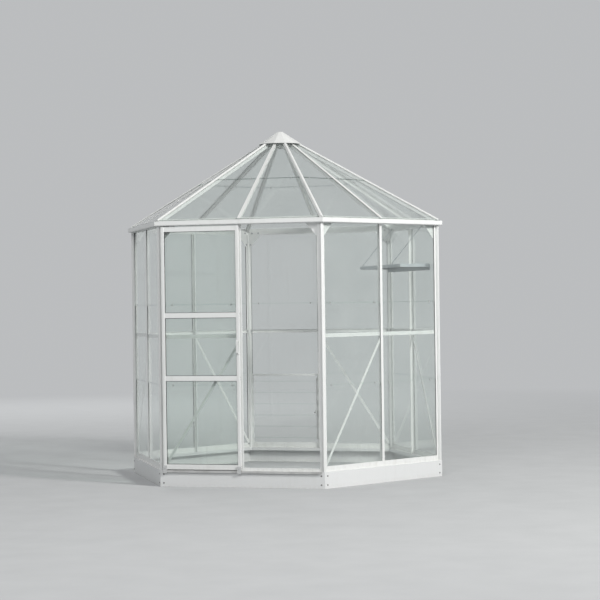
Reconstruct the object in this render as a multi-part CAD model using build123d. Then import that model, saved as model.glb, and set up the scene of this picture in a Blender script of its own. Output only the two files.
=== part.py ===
from build123d import *
import os
from math import atan, cos, degrees, radians, sin, sqrt, tan

# Hexagonal garden greenhouse of white extruded aluminium and glass, in millimetres.
# The origin is the plan centre at ground level, +Z is up and the doorway faces -Y.
# Side 0 is the doorway side. Side i is side 0 turned by 60 degrees times i about Z,
# and corner i is at the left end of side i, seen from outside.

# Plan
sides = 6
wall_corner_radius = 1265.0   # centre to the corner where the outer faces of two walls meet
plinth_overhang = 17.3        # these three lie outside the wall's outer face
gutter_overhang = 40.7
roof_overhang = 13.0

# Heights
plinth_height = 123.0
sill_height = 40.0
eave_base = 1957.0            # underside of the eave beams, top of posts and glazing bars
eave_lip = 2.0                # underside of the gutter above that
gutter_height = 34.0
gutter_gap = 12.0             # gutter's rim to the top of the rafters at their lower ends
girt_centre = 1126.0
roof_pitch = 32.95

# Extrusion walls and glazing
skin = 2.0                    # wall of the aluminium extrusions
sheet = 1.5                   # folded plinth sheet
glass = 3.0
slot_play = 1.0               # room in a glass slot beside two lapped panes
edge_gap = 2.0                # pane edge to the bottom of its slot
seat_gap = 0.3                # gap left between faces that only rest or slide
pane_lap = 8.0
pane_ledge = 30.0             # lower edge of the lowest wall panes above the plinth
pane_tuck = 16.0              # upper edge of the highest wall panes above the eave's underside
pane_rows = 3
roof_pane_height = 612.0
roof_pane_overhang = 4.0
roof_pane_gap = 6.0            # upper panes short of the crown ring

# Corner posts
post_chamfer = 26.0
post_wing = 15.0
post_slot_depth = 10.0
post_core_depth = 24.0
nose_width = 18.0             # hollow nose outside the chamfer, on a solid neck
nose_height = 16.0
nose_fillet = 5.0
neck_width = 8.0
neck_height = 7.5

# Hip rafters
hip_chamfer = 12.0
hip_wing = 9.5
hip_slot_depth = 7.5
hip_core_depth = 36.0
ridge_width = 16.0            # rounded bead along the chamfer
ridge_height = 7.0
ridge_fillet = 3.0
core_width = 20.0             # hollow core of posts and hips

# Glazing bars: mullions and middle rafters
bar_flange = 25.0
bar_lip = 20.0
bar_web = 3.0
bar_depth = 34.0
bar_bead = 8.0
bar_bead_height = 4.0

# Girts, braces and gussets
girt_height = 28.0
girt_depth = 12.0
brace_width = 20.0
brace_thickness = 3.0
brace_drop = 14.0             # its centre line's upper end below the girt
gusset_leg = 100.0
gusset_gap = 1.0              # between a gusset or girt and the corner post's core
gusset_rise = 28.0            # upper edge above the eave's underside
gusset_tip = 14.0
gusset_thickness = 2.5

# Plinth and doorway sill
plinth_margin = 1.0           # plinth's inner edge inside the glazing bars
plinth_foot = 24.0
threshold_height = 22.0

# Door track, in the lower chamber of the eave extrusion
track_centre = 18.5           # from the wall's outer face
track_chamber = 22.0
track_slot = 8.0
track_play = 2.0              # room above the wheels
gutter_corner_fillet = 8.0
gutter_bead = 3.0             # radius of the bead on the rim

# Door
leaf_cover = 13.8             # closed leaf past the corner post's wing
leaf_edge = 1.0               # leaf's edge to the middle of the glazing bar, open and closed
leaf_floor_gap = 8.0
leaf_head_gap = 8.0
leaf_thickness = 18.0
stile_width = 26.0
rail_height = 38.0
rail_inset = 1.5
middle_rail_bases = (794.0, 1266.0)
leaf_groove = 8.0
wheel_radius = 6.0
wheel_width = 4.5
wheel_side_gap = 0.5
axle_radius = 2.0
axle_end_gap = 1.0
hanger_inset = 80.0
hanger_width = 30.0
hanger_thickness = 3.0
hanger_head_gap = 1.0         # below the top of the wheels
stop_gap = 0.9
stop_width = 10.0
handle_height = 104.0
handle_centre = 1047.0
handle_reach = 28.0
handle_width = 14.0
handle_bar = 7.0
handle_end = 10.0
guide_end = 5.0               # guide rail beyond the leaf's travel
guide_lip = 16.0
guide_reach = 4.0             # guide rail's lip beyond the leaf's front face
shoe_width = 30.0
shoe_height = 29.0
shoe_cheek = 4.0
shoe_clearance = 2.0
shoe_toe = 10.0

# Louvre window in the lowest pane of a back bay
louvre_first_edge = 51.0      # lower edge of the second blade above the window's
louvre_pitch = 97.0
louvre_blade_lap = 6.0
louvre_frame = 16.0

# Crown and cap
crown_apothem = 112.0
crown_wall = 6.0
crown_height = 38.0
crown_drop = 7.0              # top of the ring below the roof's planes
crown_plate = 3.0
cap_radius = 175.0
cap_top_radius = 23.0
cap_lift = 15.0               # cap's top above that of a cap as steep as the hips
cap_sides = 12
cap_sheet = 3.0               # measured level: 1.6 square to the cap's slope
cap_bolt_radius = 5.0

# Shelf
shelf_side = 2
shelf_left_gap = 72.5         # from the wall's corner to the shelf's end
shelf_right_gap = 42.5
shelf_depth = 245.0
shelf_thickness = 25.0
shelf_height = 1637.0         # underside
stay_left_inset = 278.0       # from the shelf's end to a stay
stay_right_inset = 30.0
stay_radius = 3.0
stay_front_inset = 9.0        # its lower end behind the shelf's front edge
stay_seat = 12.0              # a stay's upper end above the eave's underside
ledger_leg = 25.0

# Derived plan
half_turn = 180.0 / sides
turn_cos = cos(radians(half_turn))
turn_sin = sin(radians(half_turn))
wall_face = wall_corner_radius * turn_cos
plinth_face = wall_face + plinth_overhang
gutter_face = wall_face + gutter_overhang
roof_edge = wall_face + roof_overhang
roof_edge_radius = roof_edge / turn_cos
corner_x = wall_corner_radius * turn_sin
plinth_back = wall_face - bar_depth - plinth_margin
side_length = 4 * gutter_face           # long enough to trim any piece of a side from

# Derived roof
gutter_base = eave_base + eave_lip
gutter_rim = gutter_base + gutter_height
roof_edge_height = gutter_rim + gutter_gap
pitch_tan = tan(radians(roof_pitch))
hip_tan = pitch_tan * turn_cos
hip_slope = degrees(atan(hip_tan))
hip_wing_tan = (sin(radians(roof_pitch)) * turn_sin) / (
    sin(radians(roof_pitch)) * turn_cos * sin(radians(hip_slope))
    + cos(radians(roof_pitch)) * cos(radians(hip_slope))
)
hip_wing_angle = degrees(atan(hip_wing_tan))
crown_top = roof_edge_height + (roof_edge - crown_apothem) * pitch_tan - crown_drop
crown_base = crown_top - crown_height
cap_rise = (cap_radius - cap_top_radius) * hip_tan + cap_lift

# Derived glazing
glass_slot = 2 * glass + slot_play
lip_top = skin + glass_slot             # outer side of the inner glass lip, below the outer face
lip_depth = lip_top + skin              # inner side of that lip
pane_bottom = plinth_height + pane_ledge
pane_top = eave_base + pane_tuck
pane_height = (pane_top - pane_bottom + (pane_rows - 1) * pane_lap) / pane_rows
pane_step = pane_height - pane_lap
outer_pane = (slot_play - seat_gap) / 2 + skin   # depth of a pane's outer, lower edge
pane_shift = glass + seat_gap           # a pane's upper edge lies this much deeper
wing_reach = post_chamfer / 2 / turn_cos + post_wing   # from the wall's corner
core_reach = core_width / 2 * turn_cos + post_core_depth * turn_sin
wall_pane_right = corner_x - wing_reach + post_slot_depth - edge_gap
bar_pane_edge = bar_web / 2 + edge_gap
bay_right = corner_x - wing_reach - seat_gap
bay_left = bar_flange / 2 + seat_gap
bays = ((-bay_right, -bay_left), (bay_left, bay_right))
sill_top = plinth_height + sill_height
gusset_start = core_reach + gusset_gap

# Derived door
leaf_centre = wall_face + track_centre
leaf_back = leaf_centre - leaf_thickness / 2
leaf_front = leaf_centre + leaf_thickness / 2
leaf_bottom = plinth_height + leaf_floor_gap
leaf_top = gutter_base - leaf_head_gap
leaf_width = bay_right + leaf_cover - 2 * leaf_edge
leaf_right = leaf_edge
leaf_left = leaf_right - leaf_width
door_travel = leaf_width + leaf_edge
guide_half = door_travel + guide_end
guide_face = leaf_front + guide_reach
track_height = 2 * wheel_radius + track_play


def roof_height(apothem):
    """Height of the roof's outer planes at a distance from the axis, square to a side."""
    return roof_edge_height + (roof_edge - apothem) * pitch_tan


def rect(x0, x1, y0, y1):
    """Rectangular face between two corners."""
    return Pos((x0 + x1) / 2, (y0 + y1) / 2) * Rectangle(x1 - x0, y1 - y0)


def outline(*points):
    """Face inside a closed outline."""
    return make_face(Polyline(*points, close=True))


def block(x0, x1, y0, y1, z0, z1):
    """Box between two corners."""
    return Pos((x0 + x1) / 2, (y0 + y1) / 2, (z0 + z1) / 2) * Box(x1 - x0, y1 - y0, z1 - z0)


def turned(shape, side):
    """A shape modelled on side 0, moved to another side."""
    return Rot(0, 0, side * 360 / sides) * shape


def at_corner(shape, corner):
    """A shape modelled towards -Y, moved to a corner."""
    return Rot(0, 0, (corner - 0.5) * 360 / sides) * shape


def wedge(low, high):
    """The space between the mitre planes at both ends of side 0."""
    reach = side_length
    half = reach * tan(radians(half_turn))
    return Pos(0, 0, low) * extrude(outline((0, 0), (half, -reach), (-half, -reach)), high - low)


def wall_strip(x0, x1, z0, z1, depth0, depth1):
    """Box on side 0, from and to a depth below the wall's outer face."""
    return block(x0, x1, -wall_face + depth0, -wall_face + depth1, z0, z1)


def save(name, *solids):
    """Write one sub-part."""
    parts = []
    for shape in solids:
        parts.extend(shape.solids())
    part = parts[0] if len(parts) == 1 else Compound(children=parts)
    part.label = name
    export_step(part, f"parts/{name}.step")


# Sections

def bar_section():
    """Glazing bar: outer flange, glass slots, inner lip, web and bead. The web runs along +Y."""
    return (
        rect(-bar_flange / 2, bar_flange / 2, 0, skin)
        + rect(-bar_lip / 2, bar_lip / 2, lip_top, lip_depth)
        + rect(-bar_web / 2, bar_web / 2, 0, bar_depth)
        + rect(-bar_bead / 2, bar_bead / 2, bar_depth - bar_bead_height, bar_depth)
    )


def bent_section(angle, chamfer, wing, slot_depth, core_depth):
    """Corner section: chamfer, two glazed wings at an angle and a hollow core.

    The corner where the two outer faces would meet is the origin, and +Y runs inwards.
    """
    slope = radians(angle)
    root = (chamfer / 2, chamfer_depth(chamfer, angle))
    lip = lip_depth / cos(slope)
    body = outline(
        mirror_x(root),
        root,
        wing_point(root, slope, wing, 0),
        wing_point(root, slope, wing, lip_depth),
        (0, lip),
        mirror_x(wing_point(root, slope, wing, lip_depth)),
        mirror_x(wing_point(root, slope, wing, 0)),
    )
    half_core = core_width / 2
    body += outline(
        (-half_core, lip - skin),
        (half_core, lip - skin),
        (half_core, core_depth),
        (0, core_depth + half_core * tan(radians(half_turn))),
        (-half_core, core_depth),
    )
    for side in (1, -1):
        slot = [
            wing_point(root, slope, wing - slot_depth, skin),
            wing_point(root, slope, wing + skin, skin),
            wing_point(root, slope, wing + skin, lip_top),
            wing_point(root, slope, wing - slot_depth, lip_top),
        ]
        body -= outline(*[(side * x, y) for x, y in slot])
    hollow = half_core - skin
    return body - rect(-hollow, hollow, lip + hollow * tan(slope), core_depth)


def chamfer_depth(chamfer, angle):
    """How far a chamfer lies inside the corner where the two outer faces would meet."""
    return chamfer / 2 * tan(radians(angle))


def wing_point(root, slope, along, depth):
    """Point on a wing: along it from the chamfer's edge, and below its outer face."""
    x = root[0] + along * cos(slope) - depth * sin(slope)
    y = root[1] + along * sin(slope) + depth * cos(slope)
    return (x, y)


def mirror_x(point):
    """The same point on the section's other half."""
    return (-point[0], point[1])


def nose_section():
    """Neck and rounded hollow nose that stand out from a corner post's chamfer."""
    top = chamfer_depth(post_chamfer, half_turn)
    base = top - neck_height
    crest = base - nose_height
    half = nose_width / 2
    nose = rect(-half, half, crest, base)
    nose = fillet(nose.vertices().group_by(Axis.Y)[0], nose_fillet)
    hollow = rect(-half + skin, half - skin, crest + skin, base - skin)
    hollow = fillet(hollow.vertices().group_by(Axis.Y)[0], nose_fillet - skin)
    return nose - hollow + rect(-neck_width / 2, neck_width / 2, base - skin / 2, top + skin / 2)


def ridge_section():
    """Rounded bead along a hip rafter's chamfer."""
    top = chamfer_depth(hip_chamfer, hip_wing_angle)
    bead = rect(-ridge_width / 2, ridge_width / 2, top - ridge_height, top)
    return fillet(bead.vertices().group_by(Axis.Y)[0], ridge_fillet)


# Plinth, sills and threshold

def plinth_side():
    """Folded sheet: face, top flange, inner return and foot, mitred at both ends."""
    back = plinth_back
    foot = plinth_face - plinth_foot
    path = (
        rect(back, plinth_face, plinth_height - sheet, plinth_height)
        + rect(plinth_face - sheet, plinth_face, 0, plinth_height)
        + rect(back, back + sheet, plinth_height - plinth_foot, plinth_height)
        + rect(foot, plinth_face, 0, sheet)
    )
    return prism_along_side(path, 0, plinth_height)


def prism_along_side(section, low, high):
    """Extrude a section, drawn as distance from the axis and height, along side 0."""
    plane = Plane(origin=(0, 0, 0), x_dir=(0, -1, 0), z_dir=(-1, 0, 0))
    solid = extrude(plane * section, amount=gutter_face, both=True)
    return solid & wedge(low - skin, high + skin)


def sill(left, right):
    """Glazing sill between two uprights: outer and inner cheeks, base and a ledge for the glass."""
    ledge = pane_bottom - seat_gap
    return (
        wall_strip(left, right, plinth_height, sill_top, 0, skin)
        + wall_strip(left, right, plinth_height, sill_top, lip_top, lip_depth)
        + wall_strip(left, right, plinth_height, plinth_height + skin, 0, bar_depth)
        + wall_strip(left, right, ledge - skin, ledge, 0, lip_depth)
    )


def threshold():
    """Low hollow sill in the doorway."""
    left, right = bays[1]
    tube = wall_strip(left, right, plinth_height, plinth_height + threshold_height, 0, bar_depth)
    hollow = wall_strip(
        left - skin,
        right + skin,
        plinth_height + skin,
        plinth_height + threshold_height - skin,
        skin,
        bar_depth - skin,
    )
    return tube - hollow


# Uprights

def corner_post():
    bent = bent_section(half_turn, post_chamfer, post_wing, post_slot_depth, post_core_depth)
    section = Pos(0, -wall_corner_radius) * (bent + nose_section())
    return Pos(0, 0, plinth_height) * extrude(section, eave_base - plinth_height)


def mullion():
    section = Pos(0, -wall_face) * bar_section()
    return Pos(0, 0, plinth_height) * extrude(section, eave_base - plinth_height)


# Eaves

def eave_side():
    """Eave beam, gutter and door track in one extrusion, mitred at both ends."""
    inner = wall_face - lip_depth
    seat = lip_depth / cos(radians(roof_pitch))
    beam_top = roof_height(inner) - seat
    track = wall_face + track_centre
    floor = gutter_base + skin + track_height
    body = rect(inner, inner + skin, eave_base, beam_top - skin)
    body += rect(wall_face - skin, wall_face, eave_base, gutter_rim - skin)
    body += rect(inner, wall_face, pane_top + edge_gap, pane_top + edge_gap + skin)
    body += outline(
        (inner, beam_top),
        (wall_face, roof_height(wall_face) - seat),
        (wall_face, roof_height(wall_face) - seat - skin),
        (inner, beam_top - 2 * skin),
    )
    body += rect(wall_face - skin, wall_face, gutter_base, roof_height(wall_face) - seat - skin / 2)
    channel = rect(wall_face, gutter_face, gutter_base, gutter_rim)
    lower_corners = channel.vertices().group_by(Axis.Y)[0]
    channel = fillet(lower_corners.sort_by(Axis.X)[-1], gutter_corner_fillet)
    channel -= rect(wall_face, gutter_face - skin, floor + skin, gutter_rim + skin)
    channel -= rect(track - track_chamber / 2, track + track_chamber / 2, gutter_base + skin, floor)
    channel -= rect(track - track_slot / 2, track + track_slot / 2, gutter_base - skin, floor - skin)
    bead = Pos(gutter_face - gutter_bead, gutter_rim - gutter_bead) * Circle(gutter_bead)
    return prism_along_side(body + channel + bead, eave_base, beam_top)


# Roof bars

def slope_plane(origin, run, slope):
    """Section plane of a rafter: its X is level, its Y runs down into the roof."""
    along = Vector(run[0] * cos(slope), run[1] * cos(slope), sin(slope))
    level = Vector(-run[1], run[0], 0)
    return Plane(origin=origin, x_dir=level, z_dir=along)


def rafter(section, reach, slope):
    """Bar in the roof towards -Y, from its lower end up to the crown."""
    start = Vector(0, -reach, roof_edge_height)
    plane = slope_plane(start, (0, 1), radians(slope))
    if plane.y_dir.Z > 0:
        plane = Plane(origin=start, x_dir=-plane.x_dir, z_dir=plane.z_dir)
    bar = extrude(plane * section, amount=2 * reach)
    crown_end = -crown_apothem - seat_gap
    return bar & block(-side_length, side_length, -side_length, crown_end, 0, 2 * crown_top)


def eave_notch():
    """Space on side 0 that the eave beam takes out of the rafters' webs."""
    depth = lip_depth / cos(radians(roof_pitch))
    inner = wall_face - lip_depth - seat_gap
    outer = wall_corner_radius + bar_depth
    face = outline(
        (inner, roof_height(inner) - depth),
        (inner, 0),
        (outer, 0),
        (outer, roof_height(outer) - depth),
    )
    return prism_along_side(face, 0, roof_height(inner))


def middle_rafter():
    """Glazing bar from the gutter to the crown, notched over the eave beam."""
    return rafter(bar_section(), roof_edge, roof_pitch) - eave_notch()


def hip_rafter():
    """Corner bar from the gutter to the crown, notched over two eave beams."""
    bent = bent_section(hip_wing_angle, hip_chamfer, hip_wing, hip_slot_depth, hip_core_depth)
    bar = rafter(bent + ridge_section(), roof_edge_radius, hip_slope)
    return bar - at_corner(eave_notch(), 0) - at_corner(eave_notch(), 1)


# Glass

def tilted_pane(plane, points, low, height):
    """Pane drawn on a glazing plane, its upper edge deeper than its lower one."""
    lean = degrees(atan(pane_shift / height))
    seat = plane * Pos(0, low, -outer_pane) * Rot(-lean, 0, 0) * Pos(0, -low, 0)
    return extrude(seat * outline(*points), amount=-glass)


def wall_plane():
    return Plane(origin=(0, -wall_face, 0), x_dir=(1, 0, 0), z_dir=(0, -1, 0))


def roof_plane():
    slope = radians(roof_pitch)
    outwards = (0, -sin(slope), cos(slope))
    return Plane(origin=(0, -roof_edge, roof_edge_height), x_dir=(1, 0, 0), z_dir=outwards)


def wall_pane(row, bay):
    low = pane_bottom + row * pane_step
    x0, x1 = (bar_pane_edge, wall_pane_right) if bay else (-wall_pane_right, -bar_pane_edge)
    points = ((x0, low), (x1, low), (x1, low + pane_height), (x0, low + pane_height))
    return tilted_pane(wall_plane(), points, low, pane_height)


def roof_pane(row, bay):
    """Half facet pane between a middle rafter and a hip rafter."""
    slope = radians(roof_pitch)
    low_end = -roof_pane_overhang
    high_end = (roof_edge - crown_apothem - roof_pane_gap) / cos(slope)
    low = low_end + row * (roof_pane_height - pane_lap)
    high = low_end + roof_pane_height if row == 0 else high_end
    taper = cos(slope) * tan(radians(half_turn))
    wing_room = hip_chamfer / 2 / cos(radians(hip_wing_angle)) + hip_wing
    wing_room += edge_gap - hip_slot_depth
    side_room = wing_room * sqrt(1 + taper * taper)

    def edge(s):
        return roof_edge * tan(radians(half_turn)) - s * taper - side_room

    points = [(bar_pane_edge, low), (edge(low), low), (edge(high), high), (bar_pane_edge, high)]
    if not bay:
        points = [(-x, s) for x, s in points]
    return tilted_pane(roof_plane(), points, low, high - low)


# Stiffening

def girt(bay):
    """Channel rail inside the glass, open to the inside."""
    half = girt_height / 2
    end = corner_x - gusset_start
    x0, x1 = (bar_web / 2, end) if bay else (-end, -bar_web / 2)
    rail = wall_strip(x0, x1, girt_centre - half, girt_centre + half, lip_depth, lip_depth + girt_depth)
    inside = wall_strip(
        x0 - skin,
        x1 + skin,
        girt_centre - half + skin,
        girt_centre + half - skin,
        lip_depth + skin,
        lip_depth + girt_depth + skin,
    )
    return rail - inside


def brace():
    """Flat strip from the mullion below the girt down to the foot of the left corner post."""
    x0, z0 = -corner_x + gusset_start, sill_top - brace_width / 2
    x1, z1 = -bar_web / 2 - seat_gap, girt_centre - girt_height / 2 - seat_gap
    low_end = Vector(x0, 0, z0)
    high_end = Vector(x1, 0, z1 - brace_drop)
    angle = degrees(atan((high_end.Z - low_end.Z) / (high_end.X - low_end.X)))
    middle = (low_end + high_end) * 0.5
    strip = Pos(middle.X, -wall_face + lip_depth + brace_thickness / 2, middle.Z) * Rot(0, -angle, 0)
    strip = strip * Box(side_length, brace_thickness, brace_width)
    return strip & wall_strip(x0, x1, plinth_height + skin, z1, 0, bar_depth)


def gusset(side):
    """Triangular plate with clipped tips between eave beam and corner post."""
    x = corner_x - gusset_start
    tip = x - gusset_leg
    points = (
        (x, eave_base + gusset_rise),
        (tip, eave_base + gusset_rise),
        (tip, eave_base),
        (x - gusset_tip, eave_base - gusset_leg),
        (x, eave_base - gusset_leg),
    )
    face = outline(*[(side * px, pz) for px, pz in points])
    plane = Plane(origin=(0, -wall_face + lip_depth, 0), x_dir=(1, 0, 0), z_dir=(0, -1, 0))
    return extrude(plane * face, amount=-gusset_thickness)


# Crown and cap

def ring_face(apothem):
    return Rot(0, 0, 180 / cap_sides) * RegularPolygon(apothem, cap_sides, major_radius=False)


def crown():
    """Twelve sided ring that the rafters end on, with its floor and the cap's bolt."""
    ring = ring_face(crown_apothem) - ring_face(crown_apothem - crown_wall)
    ring = extrude(ring, crown_top - crown_base)
    floor = extrude(ring_face(crown_apothem), crown_plate)
    bolt = Cylinder(
        cap_bolt_radius,
        cap_rim() + cap_rise - cap_sheet - crown_base,
        align=(Align.CENTER, Align.CENTER, Align.MIN),
    )
    return Pos(0, 0, crown_base) * (ring + floor + bolt)


def cap_rim():
    """Height of the cap's rim, so that its folds clear the beads along the hips."""
    crest = ridge_height - chamfer_depth(hip_chamfer, hip_wing_angle)
    over = crest / cos(radians(hip_slope)) + cap_sheet * hip_tan + seat_gap
    over += ridge_width / 2 * tan(radians(180 / cap_sides)) * cap_rise / (cap_radius - cap_top_radius)
    return roof_edge_height + (roof_edge_radius - cap_radius) * hip_tan + over


def cap_frustum(inset):
    """Twelve sided frustum of the cap's slope, smaller by an inset for the sheet's underside."""
    run = (cap_radius - cap_top_radius) * cos(radians(180 / cap_sides))
    lean = degrees(atan(run / cap_rise))
    return extrude(RegularPolygon(cap_radius - inset, cap_sides), cap_rise - inset, taper=lean)


def roof_cap():
    return Pos(0, 0, cap_rim()) * (cap_frustum(0) - cap_frustum(cap_sheet))


# Door

def leaf_block(x0, x1, z0, z1, inset=0.0):
    return block(x0, x1, -leaf_front + inset, -leaf_back - inset, z0, z1)


def stile(side):
    """Door stile with a groove for the panes on its inner edge."""
    x0 = leaf_left if side < 0 else leaf_right - stile_width
    body = leaf_block(x0, x0 + stile_width, leaf_bottom, leaf_top)
    body = fillet(body.edges().filter_by(Axis.Z), sheet)
    inner = x0 + stile_width if side < 0 else x0
    groove = block(
        inner - leaf_groove,
        inner + leaf_groove,
        -leaf_centre - glass / 2 - seat_gap,
        -leaf_centre + glass / 2 + seat_gap,
        leaf_bottom - skin,
        leaf_top + skin,
    )
    return body - groove


def rail_bases():
    return (leaf_bottom, *middle_rail_bases, leaf_top - rail_height)


def door_rail(base):
    """Door rail between the stiles, grooved above and below for the panes."""
    x0, x1 = leaf_left + stile_width, leaf_right - stile_width
    body = leaf_block(x0, x1, base, base + rail_height, rail_inset)
    body = fillet(body.edges().filter_by(Axis.X), sheet)
    half = glass / 2 + seat_gap
    for level in (base, base + rail_height):
        if leaf_bottom < level < leaf_top:
            body -= block(
                x0 - skin,
                x1 + skin,
                -leaf_centre - half,
                -leaf_centre + half,
                level - leaf_groove,
                level + leaf_groove,
            )
    return body


def door_panes():
    bases = rail_bases()
    tuck = leaf_groove - seat_gap
    x0, x1 = leaf_left + stile_width - tuck, leaf_right - stile_width + tuck
    panes = []
    for lower, upper in zip(bases, bases[1:]):
        z0, z1 = lower + rail_height - tuck, upper + tuck
        panes.append(block(x0, x1, -leaf_centre - glass / 2, -leaf_centre + glass / 2, z0, z1))
    return panes


def door_handle():
    """D shaped pull on the right stile, with rounded outer corners and a finger gap."""
    half = handle_height / 2
    profile = rect(0, handle_reach, -half, half)
    profile = fillet(profile.vertices().group_by(Axis.X)[-1], handle_reach / 2)
    inner = rect(-skin, handle_reach - handle_bar, -half + handle_end, half - handle_end)
    inner = fillet(inner.vertices().group_by(Axis.X)[-1], handle_reach / 4)
    x = leaf_right - stile_width / 2
    plane = Plane(origin=(x, -leaf_front, handle_centre), x_dir=(0, -1, 0), z_dir=(-1, 0, 0))
    return extrude(plane * (profile - inner), amount=handle_width / 2, both=True)


def hanger_places():
    return (leaf_left + hanger_inset, leaf_right - hanger_inset)


def wheel_height():
    return gutter_base + skin + seat_gap + wheel_radius


def hanger(x):
    """Plate on the leaf's top edge, up through the track's slot, with its axle."""
    top = wheel_height() + wheel_radius - hanger_head_gap
    plate = block(
        x - hanger_width / 2,
        x + hanger_width / 2,
        -leaf_centre - hanger_thickness / 2,
        -leaf_centre + hanger_thickness / 2,
        leaf_top,
        top,
    )
    axle = Cylinder(axle_radius, track_chamber - 2 * axle_end_gap)
    return plate + Pos(x, -leaf_centre, wheel_height()) * Rot(90, 0, 0) * axle


def wheels(x):
    """Pair of track wheels, one on each side of the hanger plate."""
    offset = (track_slot + wheel_width) / 2 + wheel_side_gap
    pair = []
    for side in (-1, 1):
        place = Pos(x, -leaf_centre + side * offset, wheel_height()) * Rot(90, 0, 0)
        pair.append(place * (Cylinder(wheel_radius, wheel_width) - Cylinder(axle_radius, 2 * wheel_width)))
    return pair


def track_stops():
    """Blocks in the track beyond the wheels' travel."""
    clear = hanger_width / 2 + stop_gap
    open_end = hanger_places()[0] - clear
    closed_end = hanger_places()[1] + door_travel + clear
    stops = []
    for x0 in (open_end - stop_width, closed_end):
        half = track_chamber / 2
        low = gutter_base + skin
        stops.append(
            block(
                x0,
                x0 + stop_width,
                -leaf_centre - half,
                -leaf_centre + half,
                low,
                low + track_height,
            )
        )
    return stops


def guide_rail():
    """Angle on the plinth along the front, with a drip lip that the door's shoes hook round."""
    top = rect(plinth_face - sheet, guide_face, plinth_height, plinth_height + skin)
    lip = rect(guide_face - skin, guide_face, plinth_height + skin - guide_lip, plinth_height + skin)
    plane = Plane(origin=(0, 0, 0), x_dir=(0, -1, 0), z_dir=(-1, 0, 0))
    return extrude(plane * (top + lip), amount=guide_half, both=True)


def shoe(side):
    """Guide shoe at a lower corner of the leaf, hooked round the guide rail's lip."""
    outer = guide_face + shoe_clearance
    lip_base = plinth_height + skin - guide_lip
    toe_top = lip_base - shoe_clearance
    top = leaf_bottom + shoe_height
    profile = outline(
        (leaf_front, leaf_bottom),
        (outer, leaf_bottom),
        (outer, toe_top),
        (outer - shoe_toe, toe_top),
        (outer - shoe_toe, toe_top - shoe_cheek),
        (outer + shoe_cheek, toe_top - shoe_cheek),
        (outer + shoe_cheek, top - shoe_cheek),
        (outer, top),
        (leaf_front, top),
    )
    x0 = leaf_left if side < 0 else leaf_right - shoe_width
    plane = Plane(origin=(x0, 0, 0), x_dir=(0, -1, 0), z_dir=(-1, 0, 0))
    return extrude(plane * profile, amount=-shoe_width)


# Louvre window, in the outer bay of the back side

def louvre_bounds():
    top = pane_bottom + pane_step - seat_gap
    return bar_pane_edge + seat_gap, wall_pane_right - seat_gap, pane_bottom, top


def louvre_surround():
    x0, x1, z0, z1 = louvre_bounds()
    depth0, depth1 = skin + seat_gap, lip_top - seat_gap
    frame = wall_strip(x0, x1, z0, z1, depth0, depth1)
    return frame - wall_strip(
        x0 + louvre_frame, x1 - louvre_frame, z0 + louvre_frame, z1 - louvre_frame, 0, bar_depth
    )


def louvre_blades():
    """Lapped glass blades, leaning out at their lower edges."""
    x0, x1, z0, z1 = louvre_bounds()
    x0, x1 = x0 + louvre_frame + seat_gap, x1 - louvre_frame - seat_gap
    z0, z1 = z0 + louvre_frame + 2 * seat_gap, z1 - louvre_frame - 2 * seat_gap
    edges = [z0]
    level = pane_bottom + louvre_first_edge
    while level < z1 - louvre_blade_lap:
        edges.append(level)
        level += louvre_pitch
    blades = []
    for low, high in zip(edges, edges[1:] + [z1]):
        top = min(high + louvre_blade_lap, z1)
        points = ((x0, low), (x1, low), (x1, top), (x0, top))
        blades.append(tilted_pane(wall_plane(), points, low, top - low))
    return blades


# Shelf

def shelf_ends():
    return -corner_x + shelf_left_gap, corner_x - shelf_right_gap


def shelf_board():
    """Folded tray, open below."""
    left, right = shelf_ends()
    back = wall_face - bar_depth - seat_gap
    front = back - shelf_depth
    low = shelf_height
    board = block(left, right, -back, -front, low, low + shelf_thickness)
    inside = block(
        left + skin,
        right - skin,
        -back + skin,
        -front - skin,
        low - skin,
        low + shelf_thickness - skin,
    )
    return board - inside


def stay_places():
    left, right = shelf_ends()
    return left + stay_left_inset, right - stay_right_inset


def shelf_stay(x):
    """Rod down to the shelf's front edge, from the eave beam or from a gusset on it."""
    on_gusset = x > corner_x - gusset_start - gusset_leg
    seat = lip_depth + (gusset_thickness if on_gusset else 0)
    back = wall_face - bar_depth - seat_gap
    low = Vector(x, -(back - shelf_depth) - stay_front_inset, shelf_height + shelf_thickness)
    high = Vector(x, -wall_face + lip_depth, eave_base + stay_seat)
    run = high - low
    rod = Plane(origin=low, z_dir=run) * Cylinder(
        stay_radius, run.length, align=(Align.CENTER, Align.CENTER, Align.MIN)
    )
    left, right = x - shelf_depth, x + shelf_depth
    rod -= block(left, right, -side_length, -wall_face + seat, 0, roof_edge_height)
    return rod - block(left, right, -wall_face, 0, 0, shelf_height + shelf_thickness)


def shelf_ledger():
    """Angle under the shelf's back edge, on the middle glazing bar."""
    left, right = shelf_ends()
    top, depth = shelf_height, bar_depth
    face = wall_strip(left, right, top - ledger_leg, top, depth, depth + skin)
    leg = wall_strip(left, right, top - skin, top, depth, depth + ledger_leg)
    return face + leg


# Assembly

side_names = ("front", "front_right", "back_right", "back", "back_left", "front_left")
corner_names = (
    "front_left",
    "front_right",
    "right",
    "back_right",
    "back_left",
    "left",
)
louvre_bay = (3, 1)
doorway_bay = (0, 1)
all_bays = [(side, bay) for side in range(sides) for bay in (0, 1)]
glazed_bays = [place for place in all_bays if place != doorway_bay]


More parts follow.
